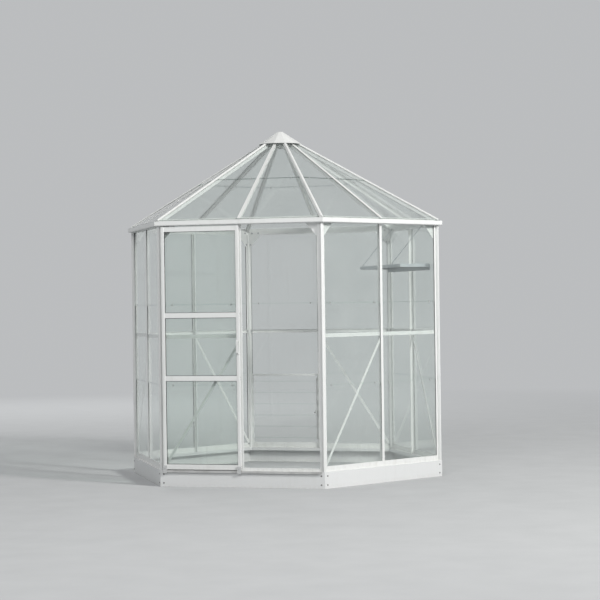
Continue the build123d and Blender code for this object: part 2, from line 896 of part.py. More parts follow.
def write_parts():
    os.makedirs("parts", exist_ok=True)
    plinth, eave, post = plinth_side(), eave_side(), corner_post()
    for side, name in enumerate(side_names):
        save(f"plinth_{name}", turned(plinth, side))
        save(f"eave_gutter_{name}", turned(eave, side))
    for corner, name in enumerate(corner_names):
        save(f"corner_post_{name}", at_corner(post, corner))
    save("mullions", *[turned(mullion(), side) for side in range(sides)])
    save("sills", *[turned(sill(*bays[bay]), side) for side, bay in glazed_bays], threshold())
    save("girts", *[turned(girt(bay), side) for side, bay in glazed_bays])
    save("braces", *[turned(brace(), side) for side in range(sides)])
    save("gussets", *[turned(gusset(end), side) for side in range(sides) for end in (-1, 1)])
    for row, name in enumerate(("lower", "middle", "upper")):
        kept = [place for place in glazed_bays if row > 0 or place != louvre_bay]
        save(f"wall_glass_{name}", *[turned(wall_pane(row, bay), side) for side, bay in kept])
    save("louvre_frame", turned(louvre_surround(), louvre_bay[0]))
    save("louvre_blades", *[turned(blade, louvre_bay[0]) for blade in louvre_blades()])
    save("hip_rafters", *[at_corner(hip_rafter(), corner) for corner in range(sides)])
    save("middle_rafters", *[turned(middle_rafter(), side) for side in range(sides)])
    for row, name in enumerate(("lower", "upper")):
        save(f"roof_glass_{name}", *[turned(roof_pane(row, bay), side) for side, bay in all_bays])
    save("crown_ring", crown())
    save("roof_cap", roof_cap())
    save("door_stiles", stile(-1), stile(1))
    save("door_rails", *[door_rail(base) for base in rail_bases()])
    save("door_glass", *door_panes())
    save("door_handle", door_handle())
    save("door_hangers", *[hanger(x) for x in hanger_places()])
    save("door_wheels", *[wheel for x in hanger_places() for wheel in wheels(x)])
    save("door_shoes", shoe(-1), shoe(1))
    save("track_stops", *track_stops())
    save("guide_rail", guide_rail())
    save("shelf_board", turned(shelf_board(), shelf_side))
    supports = [shelf_ledger(), *[shelf_stay(x) for x in stay_places()]]
    save("shelf_supports", *[turned(piece, shelf_side) for piece in supports])


write_parts()
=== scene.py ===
"""Hexagonal garden greenhouse of white powder coated aluminium and glass, dressed for rendering.

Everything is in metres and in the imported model's frame: ground at z = 0, the doorway faces -Y.
Side 0 is the doorway side and side i is turned from it by 60 degrees times i about Z. Pieces of
a side are modelled on side 0 and turned, as the solids are.
"""

from math import atan, cos, pi, radians, sin, tan

import bmesh
import bpy
from mathutils import Matrix, Vector


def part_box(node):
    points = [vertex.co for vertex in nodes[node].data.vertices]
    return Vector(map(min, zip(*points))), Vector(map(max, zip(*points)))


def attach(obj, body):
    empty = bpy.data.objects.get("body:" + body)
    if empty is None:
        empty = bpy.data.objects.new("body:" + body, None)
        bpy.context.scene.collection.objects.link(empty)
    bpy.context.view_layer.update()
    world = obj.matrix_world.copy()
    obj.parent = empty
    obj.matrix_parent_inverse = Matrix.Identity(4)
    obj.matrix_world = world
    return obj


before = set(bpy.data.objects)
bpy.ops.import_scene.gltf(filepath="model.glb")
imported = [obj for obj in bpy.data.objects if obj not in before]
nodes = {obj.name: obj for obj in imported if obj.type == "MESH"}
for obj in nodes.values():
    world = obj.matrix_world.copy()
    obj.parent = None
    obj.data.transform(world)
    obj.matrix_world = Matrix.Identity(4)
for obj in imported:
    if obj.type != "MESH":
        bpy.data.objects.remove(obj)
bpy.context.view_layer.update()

# Materials


class Tree:
    """The node tree of a material or world, with short calls for its nodes."""

    def __init__(self, owner):
        self.owner = owner
        owner.use_nodes = True
        self.tree = owner.node_tree
        self.tree.nodes.clear()

    def add(self, kind, inputs=None, **settings):
        """A node with its settings, and its inputs given as numbers, colours or sockets."""
        made = self.tree.nodes.new(kind)
        for key, value in settings.items():
            setattr(made, key, value)
        for key, value in (inputs or {}).items():
            if isinstance(value, bpy.types.NodeSocket):
                self.tree.links.new(value, made.inputs[key])
            else:
                made.inputs[key].default_value = value
        return made

    def spot(self):
        """Object coordinates, which are metres."""
        return self.add("ShaderNodeTexCoord").outputs["Object"]

    def noise(self, scale, detail=3.0, roughness=0.5, stretch=(1, 1, 1)):
        place = self.add("ShaderNodeMapping", {"Vector": self.spot(), "Scale": stretch})
        inputs = {
            "Vector": place.outputs[0],
            "Scale": scale,
            "Detail": detail,
            "Roughness": roughness,
        }
        return self.add("ShaderNodeTexNoise", inputs).outputs["Fac"]

    def span(self, value, low, high, to_low=0.0, to_high=1.0):
        """A value taken from one range to another, and held at its ends."""
        inputs = {
            "Value": value,
            "From Min": low,
            "From Max": high,
            "To Min": to_low,
            "To Max": to_high,
        }
        return self.add("ShaderNodeMapRange", inputs, clamp=True).outputs[0]

    def math(self, operation, *values):
        inputs = dict(enumerate(values))
        return self.add("ShaderNodeMath", inputs, operation=operation).outputs[0]

    def blend(self, factor, first, second):
        """One colour over another."""
        inputs = {0: factor, 6: first, 7: second}
        return self.add("ShaderNodeMix", inputs, data_type="RGBA", clamp_factor=True).outputs[2]

    def height(self):
        return self.add("ShaderNodeSeparateXYZ", {0: self.spot()}).outputs["Z"]

    def upward(self):
        normal = self.add("ShaderNodeNewGeometry").outputs["Normal"]
        return self.add("ShaderNodeSeparateXYZ", {0: normal}).outputs["Z"]

    def bump(self, value, strength, distance):
        inputs = {"Height": value, "Strength": strength, "Distance": distance}
        return self.add("ShaderNodeBump", inputs).outputs[0]

    def mix(self, factor, first, second):
        """One shader over another."""
        inputs = {0: factor, 1: first.outputs[0], 2: second.outputs[0]}
        return self.add("ShaderNodeMixShader", inputs)

    def finish(self, shader, output="ShaderNodeOutputMaterial"):
        self.add(output, {"Surface": shader.outputs[0]})
        return self.owner


def new_material(name):
    return Tree(bpy.data.materials.new(name))


def colour(red, green, blue):
    return (red, green, blue, 1.0)


def coated(name, base, streak, dust, soil, soil_height, soiled=0.7):
    """Powder coat with rain streaks, dust on what faces up and soil splashed near the ground."""
    t = new_material(name)
    streaks = t.span(t.noise(26.0, 4.0, 0.6, (1, 1, 0.07)), 0.48, 0.72)
    cloud = t.span(t.noise(2.4, 5.0, 0.55), 0.35, 0.7)
    tone = t.blend(t.math("MULTIPLY", t.math("MULTIPLY", streaks, cloud), 0.55), base, streak)
    specks = t.span(t.noise(38.0, 5.0, 0.65), 0.3, 0.75)
    settled = t.math("MULTIPLY", t.span(t.upward(), 0.25, 0.95), specks)
    tone = t.blend(t.math("MULTIPLY", settled, 0.35), tone, dust)
    low = t.span(t.height(), 0.0, soil_height, 1.0, 0.0)
    spatter = t.span(t.noise(60.0, 6.0, 0.7), 0.38, 0.72)
    splash = t.math("MULTIPLY", t.math("POWER", low, 1.6), spatter)
    tone = t.blend(t.math("MULTIPLY", splash, soiled), tone, soil)
    grain = t.bump(t.noise(1400.0, 2.0, 0.6), 0.25, 0.0002)
    shader = t.add(
        "ShaderNodeBsdfPrincipled",
        {
            "Base Color": tone,
            "Roughness": t.span(t.noise(7.0, 4.0, 0.6), 0.3, 0.7, 0.40, 0.56),
            "Specular IOR Level": 0.4,
            "Normal": grain,
        },
    )
    return t.finish(shader)


def brushed(name, base, dark):
    """Bare metal, drawn along its length and dulled by weather."""
    t = new_material(name)
    lines = t.noise(90.0, 3.0, 0.6, (0.04, 1, 6))
    tone = t.blend(t.span(lines, 0.35, 0.7), base, dark)
    stains = t.span(t.noise(9.0, 5.0), 0.45, 0.75)
    tone = t.blend(t.math("MULTIPLY", stains, 0.4), tone, colour(0.30, 0.29, 0.27))
    shader = t.add(
        "ShaderNodeBsdfPrincipled",
        {
            "Base Color": tone,
            "Metallic": 0.55,
            "Roughness": t.span(t.noise(22.0, 4.0), 0.3, 0.7, 0.36, 0.58),
            "Normal": t.bump(lines, 0.15, 0.0003),
        },
    )
    return t.finish(shader)


def moulded(name, base, worn):
    """Moulded plastic with a fine grain and paler scuffs."""
    t = new_material(name)
    scuffs = t.span(t.noise(120.0, 6.0, 0.7), 0.52, 0.75)
    tone = t.blend(t.math("MULTIPLY", scuffs, 0.6), base, worn)
    shader = t.add(
        "ShaderNodeBsdfPrincipled",
        {
            "Base Color": tone,
            "Roughness": t.span(t.noise(40.0), 0.3, 0.7, 0.42, 0.62),
            "Normal": t.bump(t.noise(900.0, 2.0), 0.2, 0.0002),
        },
    )
    return t.finish(shader)


def pane(name):
    """Horticultural glass: smudged and dusty, with green edges, and light passing through.

    How far a face points up or down tells what it is: from 0 up the face of a wall pane, from 0.4
    the edge of a roof pane, from 0.7 its face, and from 0.93 the edge of a wall pane.
    """
    t = new_material(name)
    edges = t.add("ShaderNodeValToRGB", {"Fac": t.math("ABSOLUTE", t.upward())})
    edges.color_ramp.interpolation = "CONSTANT"
    stops = edges.color_ramp.elements
    stops[0].position, stops[0].color = 0.0, colour(0, 0, 0)
    stops[1].position, stops[1].color = 0.4, colour(1, 1, 1)
    for position, level in ((0.7, 0.0), (0.93, 1.0)):
        stops.new(position).color = colour(level, level, level)
    smudges = t.span(t.noise(3.2, 6.0, 0.65), 0.4, 0.75)
    film = t.math("MULTIPLY", smudges, t.span(t.noise(70.0, 5.0, 0.7), 0.2, 0.8))
    runs = t.span(t.noise(34.0, 4.0, 0.6, (1, 1, 0.05)), 0.55, 0.75)
    dirt = t.math("ADD", t.math("MULTIPLY", film, 0.10), t.math("MULTIPLY", runs, 0.05))
    tint = t.blend(dirt, colour(0.93, 0.96, 0.947), colour(0.86, 0.87, 0.84))
    tone = t.blend(edges.outputs[0], tint, colour(0.16, 0.48, 0.36))
    shader = t.add(
        "ShaderNodeBsdfPrincipled",
        {
            "Base Color": tone,
            "Roughness": t.span(t.noise(11.0, 5.0, 0.65), 0.35, 0.75, 0.01, 0.07),
            "IOR": 1.5,
            "Transmission Weight": t.span(dirt, 0.0, 0.16, 0.985, 0.86),
        },
    )
    through = t.add("ShaderNodeBsdfTransparent", {"Color": colour(0.955, 0.970, 0.963)})
    ray = t.add("ShaderNodeLightPath").outputs["Is Shadow Ray"]
    return t.finish(t.mix(ray, shader, through))


white = coated(
    "white_powder_coat",
    base=colour(0.86, 0.87, 0.86),
    streak=colour(0.66, 0.67, 0.64),
    dust=colour(0.62, 0.61, 0.56),
    soil=colour(0.42, 0.38, 0.30),
    soil_height=0.22,
)
base_white = coated(
    "plinth_powder_coat",
    base=colour(0.79, 0.80, 0.80),
    streak=colour(0.74, 0.75, 0.74),
    dust=colour(0.70, 0.69, 0.66),
    soil=colour(0.58, 0.56, 0.50),
    soil_height=0.05,
    soiled=0.35,
)
# The shelf's own grey-blue coat with painted shade: its base is darker than the coat's own pale
# grey.
shelf_grey_and_shade = coated(
    "shelf_coat_and_painted_shade",
    base=colour(0.53, 0.565, 0.59),
    streak=colour(0.44, 0.47, 0.49),
    dust=colour(0.50, 0.49, 0.45),
    soil=colour(0.42, 0.38, 0.30),
    soil_height=0.1,
)
aluminium = brushed("bare_aluminium", colour(0.78, 0.78, 0.77), colour(0.66, 0.66, 0.65))
nylon = moulded("grey_nylon", colour(0.58, 0.59, 0.59), colour(0.68, 0.68, 0.67))
zinc = brushed("dull_zinc", colour(0.62, 0.63, 0.64), colour(0.48, 0.49, 0.50))
grey_zinc = brushed("grey_zinc", colour(0.27, 0.27, 0.27), colour(0.19, 0.19, 0.19))
rubber = moulded("dark_rubber", colour(0.035, 0.036, 0.038), colour(0.11, 0.11, 0.105))
plastic = moulded("white_plastic", colour(0.80, 0.81, 0.80), colour(0.66, 0.66, 0.63))
glass = pane("horticultural_glass")

finishes = (
    (("plinth_",), base_white),
    (("wall_glass", "roof_glass", "door_glass", "louvre_blades"), glass),
    (("guide_rail", "door_hangers"), aluminium),
    (("door_wheels", "door_shoes", "track_stops"), nylon),
    (("door_handle",), plastic),
    (("shelf_",), shelf_grey_and_shade),
)


def finish_of(name):
    for starts, material in finishes:
        if name.startswith(starts):
            return material
    return white


for name, node in nodes.items():
    node.data.materials.clear()
    node.data.materials.append(finish_of(name))

# Measures that the solids have too

SIDES = 6
CORNER = 1.265                # centre to the corner of the walls' outer faces
WALL = CORNER * cos(pi / SIDES)
HALF_SIDE = CORNER / 2
LIP = 0.011                   # inner side of the bars' glass lips, below the walls' outer faces
BAR_DEPTH = 0.034
SEAT_GAP = 0.0003             # between faces that only rest
PLINTH_FACE = WALL + 0.0173
EAVE = 1.957
GUTTER_FLOOR = 1.977
GIRT = 1.126
GIRT_HALF = 0.014
GIRT_SKIN = 0.002
GUSSET_THICKNESS = 0.0025
BRACE_THICKNESS = 0.003
SILL_TOP = 0.163
SILL_FLOOR = 0.1250           # inner bottom of the sills
THRESHOLD_TOP = 0.1450
POST_SIDE = HALF_SIDE - 0.02166      # gussets, girts and braces end here
BAY_EDGES = (0.0035, 0.61049)        # of a wall pane
FLANGES = (0.0125, 0.60249)          # outer flanges of the bar and the post on both sides of a bay
PANE_BOTTOM = 0.153
PANE_STEP = 0.6040
PANE_OUT = 0.00235                   # depth of a pane's outer, lower edge
GLASS = 0.003
LAP = 0.008
ROOF_EDGE = WALL + 0.013
ROOF_EDGE_HEIGHT = 2.005
PITCH = radians(32.95)
HIP_PITCH = atan(tan(PITCH) * cos(pi / SIDES))
HIP_FOLD = radians(15.78)            # of the hips' wings below their flat tops
LOUVRE_BAY = (3, 1)           # side and end
LOUVRE_EDGES = (0.204, 0.301, 0.398, 0.495, 0.592, 0.689)
LOUVRE_FRAME = 0.016
SHELF_SIDE = 2
SHELF_TOP = 1.662
SHELF_BACK = WALL - BAR_DEPTH - SEAT_GAP
SHELF_DEPTH = 0.245
STAYS = (-0.282, 0.560)       # along the shelf's side
STAY_INSET = 0.009            # from the shelf's front edge
STAY_SEAT = 0.012             # above the eave's underside

# Mesh making


def turned(side):
    """Turn from side 0 to another side, or with a half to the corner between two sides."""
    return Matrix.Rotation(side * 2 * pi / SIDES, 4, "Z")


def frame_at(point, across, along):
    """Local frame at a point: x goes across, z along, and y is square to both."""
    along, across = Vector(along).normalized(), Vector(across).normalized()
    side = along.cross(across)
    return Matrix.Translation(point) @ Matrix((across, side, along)).transposed().to_4x4()


def inward(x, z, depth):
    """Frame on side 0, below the walls' outer face, with z into the house."""
    return frame_at((x, -WALL + depth, z), (1, 0, 0), (0, 1, 0))


def outward(x, z, distance):
    """Frame on side 0, at a distance from the axis, with z out of the house."""
    return frame_at((x, -distance, z), (1, 0, 0), (0, -1, 0))


def on_roof(x, run, depth):
    """Frame on side 0's roof plane: x level, y up the slope and z out of the roof."""
    out = Vector((0, -sin(PITCH), cos(PITCH)))
    up = Vector((0, cos(PITCH), sin(PITCH)))
    spot = Vector((x, -ROOF_EDGE, ROOF_EDGE_HEIGHT)) + up * run - out * depth
    return frame_at(spot, (1, 0, 0), out)


class Piece:
    """Forms of one finish, gathered into one mesh."""

    def __init__(self, name):
        self.name = name
        self.mesh = bmesh.new()

    def solid(self, rings, place):
        """Closed skin over rings of points, which all have the same number of points."""
        made = [[self.mesh.verts.new(place @ Vector(p)) for p in ring] for ring in rings]
        count = len(rings[0])
        for lower, upper in zip(made, made[1:]):
            for i in range(count):
                j = (i + 1) % count
                self.mesh.faces.new((lower[i], lower[j], upper[j], upper[i]))
        self.mesh.faces.new(made[0][::-1])
        self.mesh.faces.new(made[-1])

    def turned_form(self, profile, segments, place):
        """Round or many sided solid from (radius, height) points along z."""
        angles = [2 * pi * (i + 0.5) / segments for i in range(segments)]
        rings = [[(r * cos(a), r * sin(a), h) for a in angles] for r, h in profile]
        self.solid(rings, place)

    def slab(self, low, high, place, top=None):
        """Box between two corners, whose far end can be another rectangle (x0, x1, y0, y1)."""
        x0, y0, z0 = low
        x1, y1, z1 = high
        a0, a1, b0, b1 = top or (x0, x1, y0, y1)
        rings = [
            [(x0, y0, z0), (x1, y0, z0), (x1, y1, z0), (x0, y1, z0)],
            [(a0, b0, z1), (a1, b0, z1), (a1, b1, z1), (a0, b1, z1)],
        ]
        self.solid(rings, place)

    def plate(self, points, thickness, place):
        """Flat plate with an outline in x and y, from z = 0 to its thickness."""
        rings = [[(x, y, z) for x, y in points] for z in (0.0, thickness)]
        self.solid(rings, place)

    def nut(self, place, radius=0.0056):
        """Washer, hexagon nut and the end of its bolt."""
        washer, stub = 1.3 * radius, 0.52 * radius
        seat, top = 0.0013, 0.0058
        self.turned_form([(washer, 0), (washer, 0.0009), (0.9 * washer, seat)], 20, place)
        rounded = [(0.93 * radius, seat), (radius, 0.0018), (radius, 0.0052), (0.9 * radius, top)]
        self.turned_form(rounded, 6, place)
        self.turned_form([(stub, top), (stub, 0.0080), (0.7 * stub, 0.0088)], 14, place)

    def dome(self, place, radius):
        """Low domed head with a flange."""
        profile = [
            (radius, 0),
            (radius, 0.16 * radius),
            (0.82 * radius, 0.26 * radius),
            (0.74 * radius, 0.46 * radius),
            (0.45 * radius, 0.62 * radius),
            (0.16 * radius, 0.66 * radius),
        ]
        self.turned_form(profile, 18, place)

    def finish(self, body, slot, material, soften=0.0):
        """The piece as an object on its body, with sharp edges kept and small edges eased."""
        bmesh.ops.recalc_face_normals(self.mesh, faces=self.mesh.faces)
        for face in self.mesh.faces:
            face.smooth = True
        for edge in self.mesh.edges:
            edge.smooth = edge.calc_face_angle(pi) < radians(34)
        data = bpy.data.meshes.new(self.name)
        self.mesh.to_mesh(data)
        self.mesh.free()
        data.materials.append(material)
        made = bpy.data.objects.new(self.name, data)
        bpy.context.scene.collection.objects.link(made)
        if soften:
            easing = made.modifiers.new("easing", "BEVEL")
            easing.width = soften
            easing.segments = 2
            easing.limit_method = "ANGLE"
        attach(made, body)


# Fixings of the house


def glazed_bays():
    """Every half side but the doorway."""
    return [(side, end) for side in range(SIDES) for end in (-1, 1) if (side, end) != (0, 1)]


def pane_rows(side, end):
    """Rows of a bay's panes. The louvre window has the place of one lowest pane."""
    return (1, 2) if (side, end) == LOUVRE_BAY else (0, 1, 2)


def plinth_bolts():
    """Two bolts near each end of each plinth side."""
    piece = Piece("plinth_bolts")
    out, heights, radius = 0.615, (0.028, 0.094), 0.0062
    for side in range(SIDES):
        for x in (-out, out):
            for z in heights:
                piece.dome(turned(side) @ outward(x, z, PLINTH_FACE), radius)
    piece.finish("house", "bare_metal", grey_zinc)


def frame_nuts():
    """Nuts inside, on gussets, girts and braces."""
    piece = Piece("frame_nuts")
    on_gusset = ((0.022, 0.014), (0.078, 0.014), (0.008, -0.085))    # from the post, over the eave
    brace_ends = ((-0.0062, GIRT - GIRT_HALF - 0.012), (-POST_SIDE + 0.009, SILL_TOP - 0.006))
    girt_ends = (0.0095, POST_SIDE - 0.0105)
    for side in range(SIDES):
        for end in (-1, 1):
            for x, z in on_gusset:
                spot = inward(end * (POST_SIDE - x), EAVE + z, LIP + GUSSET_THICKNESS)
                piece.nut(turned(side) @ spot)
        for x, z in brace_ends:
            piece.nut(turned(side) @ inward(x, z, LIP + BRACE_THICKNESS))
    for side, end in glazed_bays():
        for x in girt_ends:
            piece.nut(turned(side) @ inward(end * x, GIRT, LIP + GIRT_SKIN))
    piece.finish("house", "bare_metal", zinc)


def crown_screws():
    """Screws round the crown's floor, and the cap's nut in its middle."""
    piece = Piece("crown_screws")
    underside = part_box("crown_ring")[0].z
    count, circle, screw, cap_nut = 12, 0.094, 0.0048, 0.011
    for i in range(count):
        a = i * 2 * pi / count
        spot = Vector((circle * cos(a), circle * sin(a), underside))
        piece.dome(frame_at(spot, (1, 0, 0), (0, 0, -1)), screw)
    piece.nut(frame_at((0, 0, underside), (1, 0, 0), (0, 0, -1)), cap_nut)
    piece.finish("house", "bare_metal", zinc)


def hook(piece, place, under=True):
    """Bent strip that holds a pane's lower edge and hangs on the pane below it.

    In its frame, y is up the pane, and z is out of the glass from the upper pane's outer side.
    """
    half, metal, tab, clear, seat, tail = 0.004, 0.0007, 0.0062, 0.0002, 0.0034, 0.004
    piece.slab((-half, -metal, clear), (half, tab, clear + metal), place)
    piece.slab((-half, -metal, -seat), (half, 0.0, 2 * clear), place)
    if under:
        lower = -GLASS - SEAT_GAP        # outer side of the pane below
        back = lower - 2 * GLASS
        piece.slab((-half, LAP, back - metal), (half, LAP + metal, lower), place)
        piece.slab((-half, -tail, back - metal), (half, LAP + metal, back), place)


def lap_hooks():
    """Hooks at the laps of the panes, and at the lower edges of the roof."""
    piece = Piece("glazing_hooks")
    inset = 0.070
    lap_run, on_lap = 0.600, (-0.265, -0.06, 0.06, 0.265)
    edge_run, on_edge = -0.004, (-0.52, -0.09, 0.09, 0.52)
    for side, end in glazed_bays():
        for row in pane_rows(side, end)[1:]:
            z = PANE_BOTTOM + row * PANE_STEP
            for x in (BAY_EDGES[0] + inset, BAY_EDGES[1] - inset):
                spot = (end * x, -WALL + PANE_OUT, z)
                hook(piece, turned(side) @ frame_at(spot, (1, 0, 0), (0, -1, 0)))
    for side in range(SIDES):
        for x in on_lap:
            hook(piece, turned(side) @ on_roof(x, lap_run, PANE_OUT))
        for x in on_edge:
            hook(piece, turned(side) @ on_roof(x, edge_run, PANE_OUT), under=False)
    piece.finish("house", "bare_metal", aluminium)


def glazing_strips():
    """Dark strips between the panes and the outer flanges of the bars."""
    piece = Piece("glazing_strips")
    lean = GLASS + SEAT_GAP            # of a pane, over its height
    end_gap, behind, proud = 0.001, 0.003, 0.0014
    front, off_glass = -WALL + 0.0021, 0.00002
    for side, end in glazed_bays():
        for row in pane_rows(side, end):
            low = PANE_BOTTOM + row * PANE_STEP + end_gap
            high = min(low + PANE_STEP - 2 * end_gap, EAVE - end_gap)
            for edge, way in ((FLANGES[0], 1), (FLANGES[1], -1)):
                near, far = sorted((edge - way * behind, edge + way * proud))
                x0, x1 = sorted((end * near, end * far))
                rings = []
                for z, deep in ((low, 0.0), (high, lean * (high - low) / PANE_STEP)):
                    back = -WALL + PANE_OUT + deep - off_glass
                    rings.append([(x0, front, z), (x1, front, z), (x1, back, z), (x0, back, z)])
                piece.solid(rings, turned(side))
    piece.finish("house", "nylon", rubber)


def rafter_caps():
    """Plastic caps on the lower ends of the hips and middle rafters."""
    piece = Piece("rafter_caps")
    run, rise = cos(HIP_FOLD), sin(HIP_FOLD)
    half, wing, depth, bead, bead_height, cut = 0.006, 0.0095, 0.011, 0.008, 0.007, 0.002
    shrink, lift = 0.97, 0.0002        # so that the cap stays inside the bar's outline
    top = half * tan(HIP_FOLD)
    tip = (half + wing * run, top + wing * rise)
    under = (tip[0] - depth * rise, tip[1] + depth * run)
    right = [(bead - cut, top - bead_height), (bead, top - bead_height + cut)]
    right += [(bead, top + (bead - half) * tan(HIP_FOLD)), tip, under]
    outline = right + [(0, depth / run)] + [(-x, y) for x, y in reversed(right)]
    outline = [(shrink * x, shrink * y + lift) for x, y in outline]
    spot = Vector((0, -ROOF_EDGE / cos(pi / SIDES), ROOF_EDGE_HEIGHT))
    down = Vector((0, -cos(HIP_PITCH), -sin(HIP_PITCH)))
    for corner in range(SIDES):
        piece.plate(outline, 0.0016, turned(corner - 0.5) @ frame_at(spot, (-1, 0, 0), down))
    right = [(0.0122, 0.0), (0.0122, 0.002), (0.0096, 0.0108)]
    bar = [(-0.0122, 0.0)] + right + [(-x, y) for x, y in reversed(right[1:])]
    spot = Vector((0, -ROOF_EDGE, ROOF_EDGE_HEIGHT))
    down = Vector((0, -cos(PITCH), -sin(PITCH)))
    for side in range(SIDES):
        piece.plate(bar, 0.0014, turned(side) @ frame_at(spot, (-1, 0, 0), down))
    piece.finish("house", "white_frame", plastic, 0.0004)


def gutter_joints():
    """Riveted angle plates on the gutters' floors at the corners."""
    plates, rivets = Piece("gutter_joint_plates"), Piece("gutter_rivets")
    inner, outer, arm, splay, metal = WALL + 0.0030, WALL + 0.0340, 0.048, 0.006, 0.0012
    middle, on_plate, rivet = -WALL - 0.0185, (0.012, 0.033), 0.0034
    slant = tan(pi / SIDES)
    for side in range(SIDES):
        for end in (-1, 1):
            points = [
                (end * inner * slant, -inner),
                (end * (inner * slant - arm), -inner),
                (end * (inner * slant - arm + splay), -outer),
                (end * outer * slant, -outer),
            ]
            if end > 0:
                points.reverse()
            plates.plate(points, metal, turned(side) @ Matrix.Translation((0, 0, GUTTER_FLOOR)))
            for back in on_plate:
                spot = Vector((end * (inner * slant - back), middle, GUTTER_FLOOR + metal))
                rivets.dome(turned(side) @ frame_at(spot, (1, 0, 0), (0, 0, 1)), rivet)
    plates.finish("house", "white_frame", plastic, 0.0003)
    rivets.finish("house", "bare_metal", zinc)


def louvre_works():
    """Pivot clips, operating bar and lever of the louvre window."""
    clips, works = Piece("louvre_clips"), Piece("louvre_operator")
    place = turned(LOUVRE_BAY[0])
    drawn = place @ inward(0, 0, 0) @ Matrix.Scale(-1, 4, (0, 1, 0))    # x, height, depth
    left, right = BAY_EDGES[0] + SEAT_GAP + LOUVRE_FRAME, BAY_EDGES[1] - SEAT_GAP - LOUVRE_FRAME
    back, clip_depth, on_blade, on_frame = 0.0088, 0.0035, 0.004, 0.010
    pivot = [(0.0048, 0), (0.0048, 0.004), (0.0036, 0.0052)]
    for z in LOUVRE_EDGES:
        for x, way in ((left, -1), (right, 1)):
            low, high = sorted((x - way * on_blade, x + way * on_frame))
            clips.slab(
                (low, z - 0.006, back),
                (high, z + 0.042, back + clip_depth),
                drawn,
                (low + 0.001, high - 0.001, z - 0.004, z + 0.036),
            )
            spot = inward(x + way * 0.005, z + 0.014, back + 0.0030)
            clips.turned_form(pivot, 18, place @ spot)
    bar, bar_half, bar_back = left + 0.0055, 0.004, 0.0146
    works.slab((bar - bar_half, 0.196, 0.0128), (bar + bar_half, 0.722, bar_back), drawn)
    lever = [(0.0035, 0.0), (0.0035, 0.052), (0.0062, 0.056), (0.0074, 0.070), (0.0050, 0.078)]
    spot = frame_at((bar, -WALL + bar_back, 0.452), (1, 0, 0), (0, 1, -0.35))
    works.turned_form(lever, 20, place @ spot)
    clips.finish("house", "handle", plastic, 0.0004)
    works.finish("house", "bare_metal", aluminium, 0.0003)


def shelf_fixings():
    """Screws along the shelf's back edge and nuts at the ends of its stays."""
    piece = Piece("shelf_fixings")
    place = turned(SHELF_SIDE)
    washer = [(0.0075, 0), (0.0075, 0.0012)]
    nut = [(0.0050, 0), (0.0056, 0.0005), (0.0056, 0.0045), (0.0050, 0.005)]
    for x in (-0.50, -0.18, 0.18, 0.53):
        spot = (x, -SHELF_BACK + 0.012, SHELF_TOP)
        piece.dome(place @ frame_at(spot, (1, 0, 0), (0, 0, 1)), 0.0045)
    for x in STAYS:
        foot = Vector((x, -(SHELF_BACK - SHELF_DEPTH) - STAY_INSET, SHELF_TOP))
        head = Vector((x, -WALL + LIP, EAVE + STAY_SEAT))
        along = (head - foot).normalized()
        seat = foot + Vector((0, 0, 0.0001))
        piece.turned_form(washer, 20, place @ frame_at(seat, (1, 0, 0), (0, 0, 1)))
        for spot, way in ((foot + along * 0.012, 1), (head - along * 0.016, -1)):
            piece.turned_form(nut, 6, place @ frame_at(spot, (1, 0, 0), along * way))
    piece.finish("house", "bare_metal", zinc)


def sill_screws():
    """Screws in the sills and the doorway's threshold."""
    piece = Piece("sill_screws")
    radius = 0.004
    for side, end in glazed_bays():
        for x in (0.05, 0.30, 0.55):
            spot = (end * x, -WALL + 0.020, SILL_FLOOR)
            piece.dome(turned(side) @ frame_at(spot, (1, 0, 0), (0, 0, 1)), radius)
    for x in (0.06, 0.30, 0.54):
        piece.dome(frame_at((x, -WALL + 0.017, THRESHOLD_TOP), (1, 0, 0), (0, 0, 1)), radius)
    piece.finish("house", "bare_metal", zinc)


# Door

LEAF_LOW, LEAF_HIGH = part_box("door_stiles")
LEAF_MID = -(LEAF_LOW.y + LEAF_HIGH.y) / 2       # leaf's middle plane from the axis
LEAF_FRONT = -LEAF_LOW.y
STILE = 0.026
RAIL = 0.038
RAIL_BASES = (LEAF_LOW.z, 0.794, 1.266, LEAF_HIGH.z - RAIL)


def door_beads():
    """Soft beads round the leaf's panes, outside and inside."""
    piece = Piece("door_beads")
    x0, x1 = LEAF_LOW.x + STILE, LEAF_HIGH.x - STILE
    width, proud, glass_half = 0.0030, 0.0022, GLASS / 2
    for lower, upper in zip(RAIL_BASES, RAIL_BASES[1:]):
        z0, z1 = lower + RAIL, upper
        for way in (-1, 1):
            face = -LEAF_MID + way * glass_half
            far = face + way * proud
            y0, y1 = sorted((face, far))
            slabs = (
                ((x0, z0), (x1, z0 + width)),
                ((x0, z1 - width), (x1, z1)),
                ((x0, z0 + width), (x0 + width, z1 - width)),
                ((x1 - width, z0 + width), (x1, z1 - width)),
            )
            for (a0, b0), (a1, b1) in slabs:
                piece.slab((a0, y0, b0), (a1, y1, b1), Matrix.Identity(4))
    piece.finish("door", "nylon", rubber)


